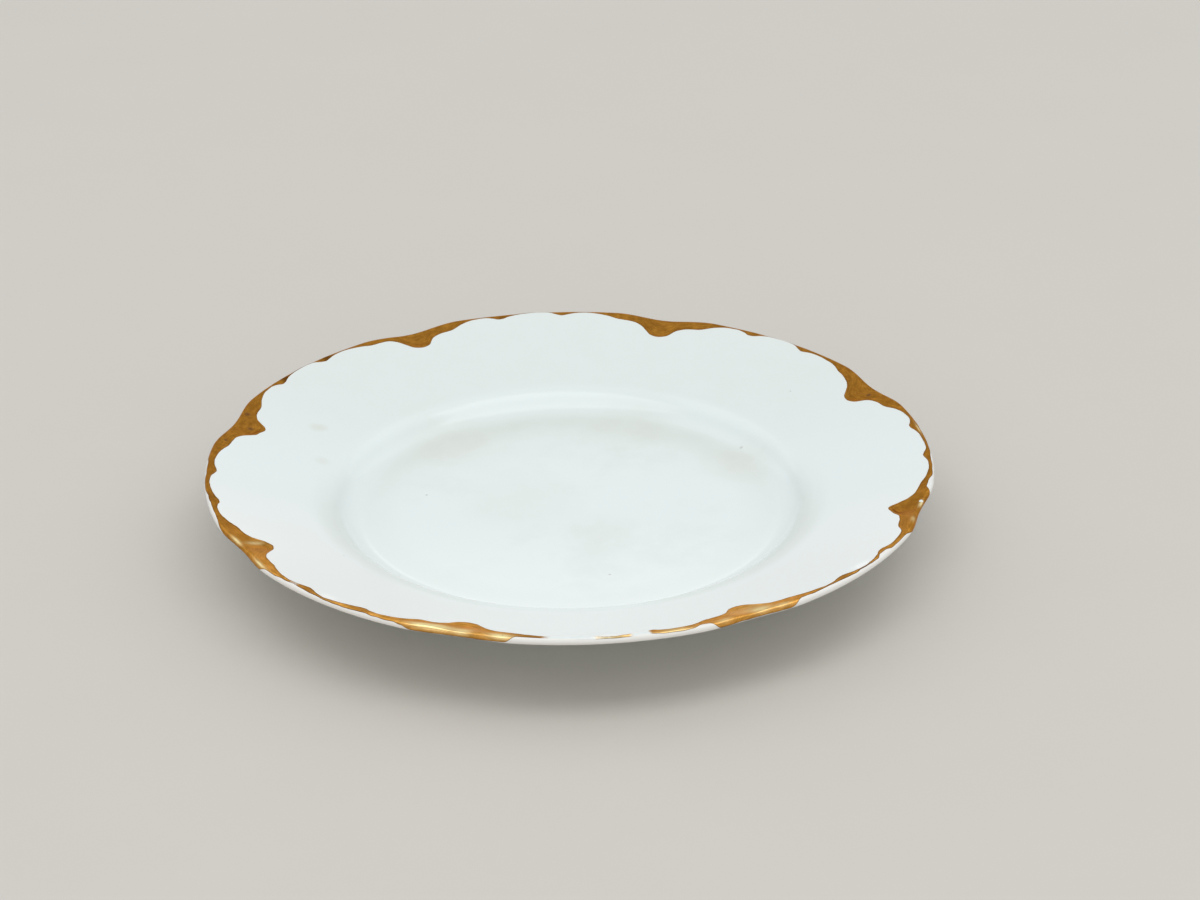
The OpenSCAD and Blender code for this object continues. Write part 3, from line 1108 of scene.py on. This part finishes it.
def end_caps(rows, cols):
    """Faces that close both ends of a shell, each between a stretch of an upper row and the
    one below it. At the two edges these meet in a point, which leaves a triangle."""
    size = 2 * rows - 2
    a, b = np.arange(rows - 1), np.arange(1, rows)
    c, d = (size - b) % size, (size - a) % size
    start = np.stack([a, d, c, b], 1) * cols
    end = start[:, ::-1] + cols - 1
    return [list(dict.fromkeys(cap)) for cap in np.concatenate([start, end]).tolist()]


def make_stroke(name, node, v_from, v_to, cols, rows):
    """Closed shell between two places, in lobes.

    Across the stroke, the rows crowd at its edges as (1 - cos) / 2. Its upper face lies over
    the plate by the lift times a square root that vanishes at both edges, and its lower face
    lies a little inside the plate. The shell's rows run out over the top and back below.
    """
    v = np.linspace(v_from, v_to, cols)
    share = (1 - np.cos(np.linspace(0, np.pi, rows))) / 2
    low, high = on_ring(inner_t, v), on_ring(outer_t, v)
    t = low + (high - low) * share[:, None]
    r, z, nr, nz = top(v, t)
    margin = np.minimum(t - low, high - t)
    lift = LIFT * np.sqrt(np.clip(margin / EDGE_WIDTH, 0, 1)) - EDGE_SUNK
    upper = turned(v, r + lift * nr, z + lift * nz)
    lower = turned(v, r - SUNK * nr, z - SUNK * nz)[-2:0:-1]
    points = np.concatenate([upper, lower])
    faces = grid_faces(len(points), cols, join_rows=True) + end_caps(rows, cols)
    values = {
        "margin": margin, "along": v * LOBE_LENGTH, "across": t - on_ring(border_t, v),
        "length": t, "rubbed": on_ring(rubbed, v), "browned": on_ring(browned, v),
        "painted_highlight": painted_highlight_share(v, t),
    }
    loop = np.concatenate([np.arange(rows), np.arange(rows - 2, 0, -1)])
    values = {key: np.broadcast_to(value, t.shape)[loop] for key, value in values.items()}
    piece = make_piece(name, points, faces, gold, **values)
    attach(piece, "root")
    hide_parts(node)
    return piece


strokes = []
for k in range(1, LOBES + 1):
    before, after, following = k - 1 + GOLD_FROM, k - 1 + GOLD_TO, k + GOLD_FROM
    patch = make_stroke(f"gold_patch_{k}", f"gilt_notch_{k}", before, after, *PATCH_GRID)
    line = make_stroke(f"gold_line_{k}", f"gilt_line_{k}", after, following, *LINE_GRID)
    strokes += [patch, line]
print("strokes", len(strokes), "faces", sum(len(s.data.polygons) for s in strokes))

# %% [markdown]
# ## Floor and light
#
# The plate stands on a plain pale floor, a little darker and warmer than itself, so that its
# white edge shows. A picture of a studio could light it, but a glossy plate mirrors its
# surroundings, and with an even sky and a few lamps it is plain what is mirrored where. The
# sky gives most of the light. Two large, weak lamps stand behind the plate, far enough to its
# sides that the rim doesn't mirror them into the camera. A strip lamp hangs overhead, where
# the far wall of the well mirrors it, and a weak, low one stands at the back, where only the
# near part of the hollow floor does. A wide, weak one lights the lip from the front. Together
# they light a level white surface to about the value that its colour has.

# %% Floor
FLOOR_TONE = (0.62, 0.59, 0.545, 1)
# The grain darkens the tone to this share. Its noise has waves in a millimetre, detail and
# roughness.
GRAIN_SHARE, GRAIN = 0.97, (0.02, 4.0, 0.6)
# The sheet reaches this far each way, and lies this far below the foot
FLOOR_HALF, FLOOR_GAP = 3000.0, 0.02


def make_floor():
    """Large level sheet just below the foot ring, with a faint grain in its tone."""
    f = Finish("floor_paper")
    grain = f.noise(f.place(), *GRAIN)
    darker = tuple(c * GRAIN_SHARE for c in FLOOR_TONE[:3]) + (1,)
    f.set(Base_Color=f.mix(grain, FLOOR_TONE, darker), Roughness=0.75)
    corners = [
        (x * FLOOR_HALF, y * FLOOR_HALF, -FLOOR_GAP)
        for x, y in ((-1, -1), (1, -1), (1, 1), (-1, 1))
    ]
    floor = make_piece("floor", corners, [(0, 1, 2, 3)], f.material)
    return floor


floor = make_floor()
print("made", floor.name)

# %% Sky and lamps
SKY_TONE, SKY_LEVEL = (0.97, 0.99, 1.0, 1), 0.68
# Name, place, width and height in metres, and power in watts
LAMPS = [
    ("lamp_left", (-1.6, 1.0, 1.7), 2.2, 2.2, 6.0),
    ("lamp_right", (1.7, 0.9, 1.6), 2.2, 2.2, 6.0),
    ("lamp_strip", (0.1, -0.4, 2.3), 3.2, 1.2, 17.2),
    ("lamp_low", (0.0, 2.28, 0.74), 0.3, 0.42, 0.26),
    ("lamp_fill", (0.2, -2.4, 0.8), 3.4, 1.5, 8.0),
]


def make_sky():
    """Even light from all around."""
    world = bpy.data.worlds.new("soft_sky")
    world.use_nodes = True
    back = world.node_tree.nodes["Background"]
    back.inputs["Color"].default_value = SKY_TONE
    back.inputs["Strength"].default_value = SKY_LEVEL
    bpy.context.scene.world = world


def put(name, data, axes, place):
    """Object at a place, with the columns of axes as its own x, y and z axes."""
    thing = bpy.data.objects.new(name, data)
    bpy.context.scene.collection.objects.link(thing)
    thing.matrix_world = Matrix.Translation(place) @ Matrix(axes.tolist()).to_4x4()
    return thing


def make_lamp(name, place, wide, high, power):
    """Soft lamp of this width and height that faces the middle of the plate."""
    lamp = bpy.data.lights.new(name, "AREA")
    lamp.shape = "RECTANGLE"
    lamp.size, lamp.size_y = wide, high
    lamp.energy = power
    ahead = -np.array(place) / np.linalg.norm(place)
    right = np.cross(ahead, [0, 0, 1.0])
    right = right / np.linalg.norm(right)
    put(name, lamp, np.stack([right, np.cross(right, ahead), -ahead], 1), place)


make_sky()
for lamp_row in LAMPS:
    make_lamp(*lamp_row)
print("lamps", len(LAMPS), "with", round(sum(row[-1] for row in LAMPS), 1), "W")

# %% [markdown]
# ## Camera
#
# The camera looks down at the plate at 26.5 degrees through a long lens, from eleven plate
# radii away. It could be set by eye until the outlines agree, but its numbers come from
# fitting the plate's edge in the picture, which is quicker and closer.

# %% Camera
VIEW_DOWN, VIEW_ROLL = 26.484, -0.555
LENS_PIXELS, IMAGE_WIDTH = 4037.6, 1200
SENSOR_WIDTH = 36.0
# Where the camera sees the middle of the plate's edge: right, down and ahead, in plate radii,
# and the height of that middle in millimetres
PLATE_IN_VIEW = np.array([-0.08385, 0.04657, 11.10189]) * PLATE_R
LEVEL_Z = 20.76


def make_camera():
    """Camera from its tilt, roll, lens and the plate's place in its view.

    The rows of the turn are the view's right, down and ahead. The camera stands at minus the
    turned-back place of the plate in view.
    """
    e, a = math.radians(VIEW_DOWN), math.radians(VIEW_ROLL)
    ahead = np.array([0, math.cos(e), -math.sin(e)])
    right = np.array([1.0, 0, 0])
    turn = np.stack([right, np.cross(ahead, right), ahead])
    roll = np.array([[math.cos(a), -math.sin(a), 0], [math.sin(a), math.cos(a), 0], [0, 0, 1]])
    turn = roll @ turn
    spot = (-turn.T @ PLATE_IN_VIEW + [0, 0, LEVEL_Z]) * MM
    camera = bpy.data.cameras.new("camera")
    camera.sensor_width = SENSOR_WIDTH
    camera.lens = SENSOR_WIDTH * LENS_PIXELS / IMAGE_WIDTH
    camera.clip_start, camera.clip_end = 0.01, 100.0
    thing = put("camera", camera, np.stack([turn[0], -turn[1], -turn[2]], 1), spot.tolist())
    bpy.context.scene.camera = thing
    return thing


camera = make_camera()
bpy.context.scene.view_settings.view_transform = "Standard"
print("camera at", [round(c, 3) for c in camera.location])
